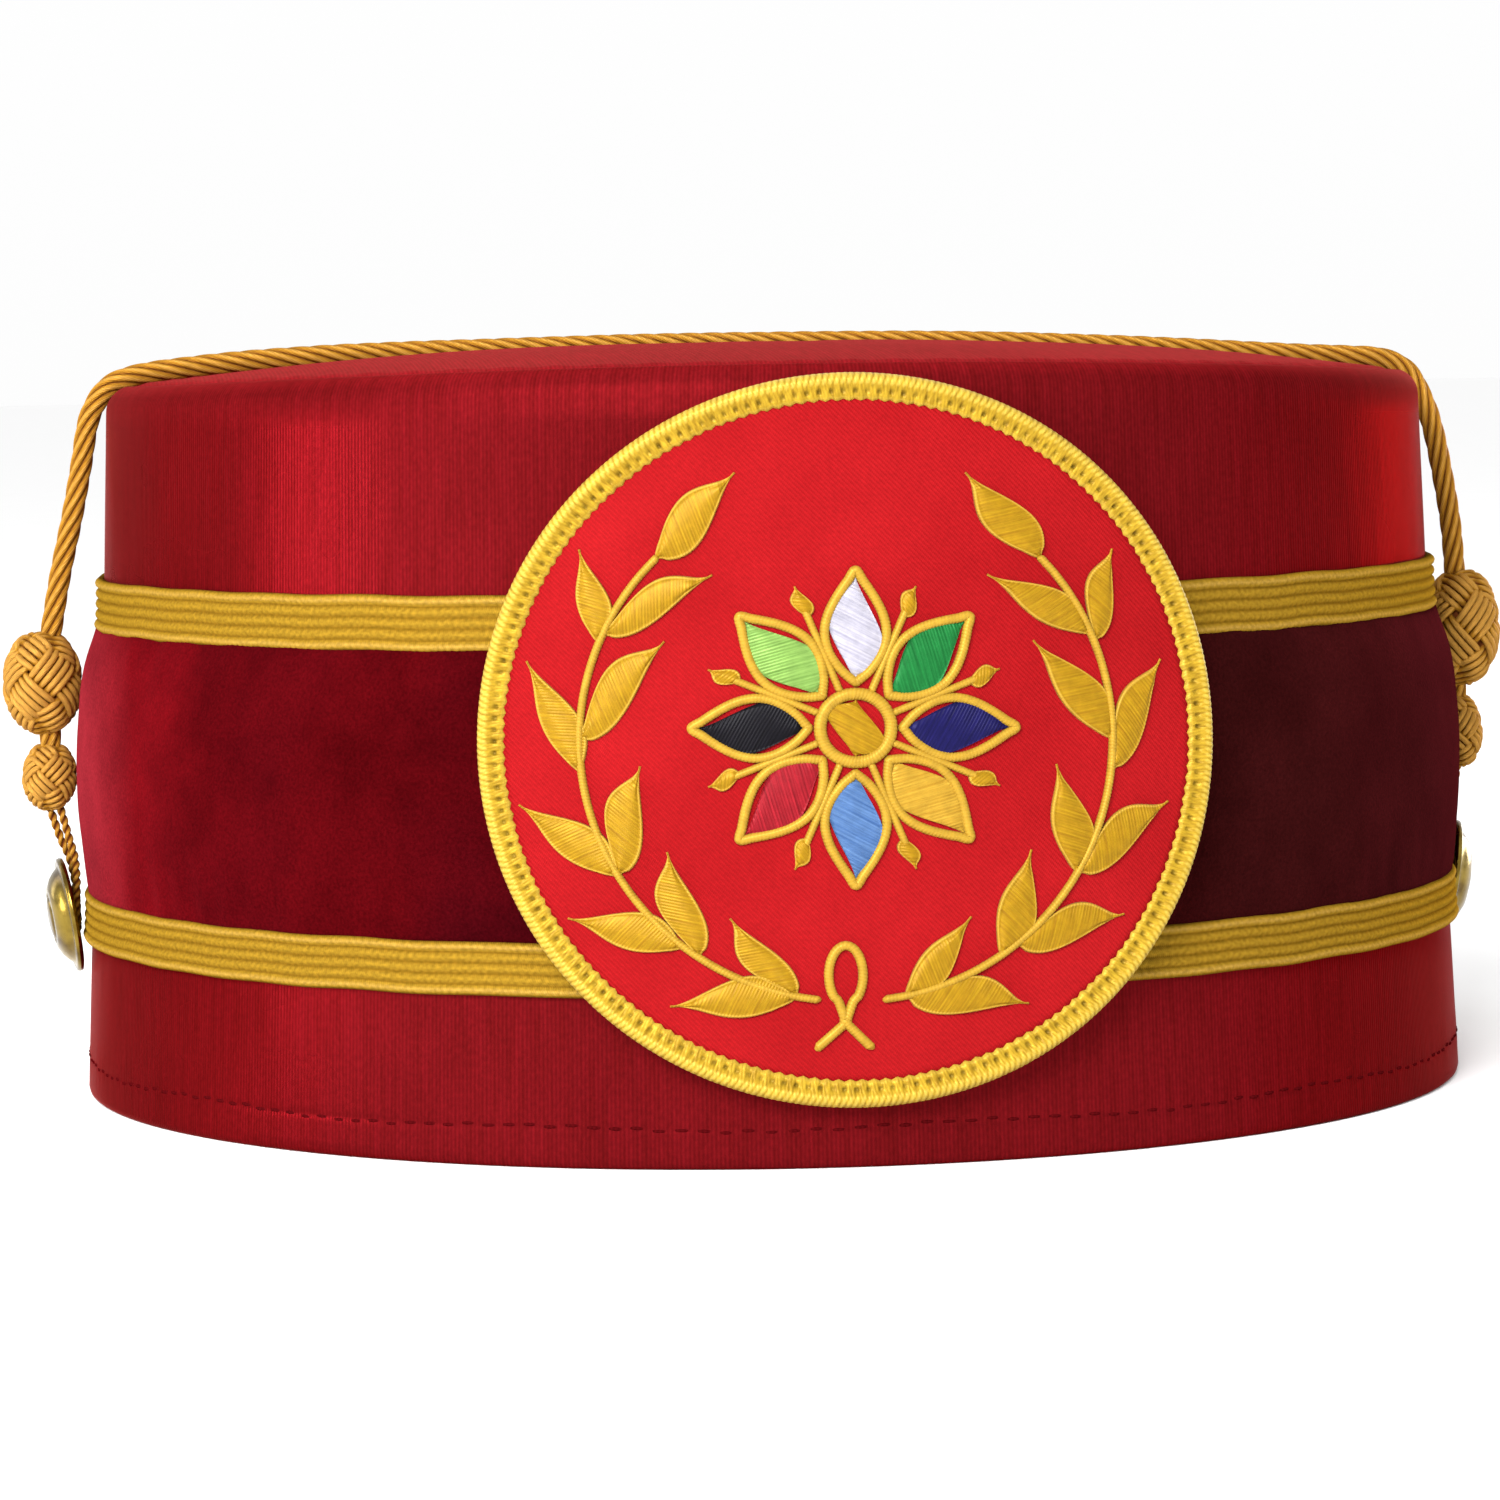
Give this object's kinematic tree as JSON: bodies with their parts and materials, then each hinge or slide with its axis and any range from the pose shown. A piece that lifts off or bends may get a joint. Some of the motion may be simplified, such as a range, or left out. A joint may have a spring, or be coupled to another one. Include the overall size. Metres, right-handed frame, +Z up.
{
  "type": "ceremonial pillbox cap",
  "caption": "Round stiffened crimson cap worn on the head, with a velvet band between gold braids, an embroidered front emblem and a twisted cord over the crown held by side buttons.",
  "frame": {"origin": "on the surface that the hem rests on, under the middle of the cap's box without its cord", "axes": "+Z up, the emblem at the front faces -Y, the wearer's left is +X"},
  "size_m": [0.209, 0.199, 0.102],
  "materials": {
    "crimson_satin": "ribbed satin with a soft sheen",
    "crimson_velvet": "short pile velvet",
    "gold_braid": "flat woven rayon braid",
    "gold_cord": "twisted rayon cord",
    "emblem_twill": "bright red twill",
    "gold_thread": "satin stitched embroidery thread",
    "white_thread": "satin stitched embroidery thread",
    "green_thread": "satin stitched embroidery thread",
    "navy_thread": "satin stitched embroidery thread",
    "yellow_thread": "satin stitched embroidery thread",
    "light_blue_thread": "satin stitched embroidery thread",
    "crimson_thread": "satin stitched embroidery thread",
    "black_thread": "satin stitched embroidery thread",
    "light_green_thread": "satin stitched embroidery thread",
    "gold_metal": "polished gold-coloured metal"
  },
  "bodies": {
    "root": {"crown_side": "crimson_satin", "crown_tip": "crimson_satin", "velvet_band": "crimson_velvet", "lower_braid": "gold_braid", "upper_braid": "gold_braid", "button_left": "gold_metal", "button_right": "gold_metal", "emblem_ground": "emblem_twill", "emblem_border": "gold_thread", "wreath_left_branch": "gold_thread", "wreath_right_branch": "gold_thread", "ribbon_tie": "gold_thread", "rosette_frame": "gold_thread", "rosette_boss": "gold_thread", "petal_white": "white_thread", "petal_green": "green_thread", "petal_navy": "navy_thread", "petal_yellow": "yellow_thread", "petal_light_blue": "light_blue_thread", "petal_crimson": "crimson_thread", "petal_black": "black_thread", "petal_light_green": "light_green_thread", "crown_cord": "gold_cord", "big_knot_left": "gold_cord", "cord_neck_left": "gold_cord", "small_knot_left": "gold_cord", "button_loop_left": "gold_cord", "big_knot_right": "gold_cord", "cord_neck_right": "gold_cord", "small_knot_right": "gold_cord", "button_loop_right": "gold_cord"}
  },
  "joints": []
}
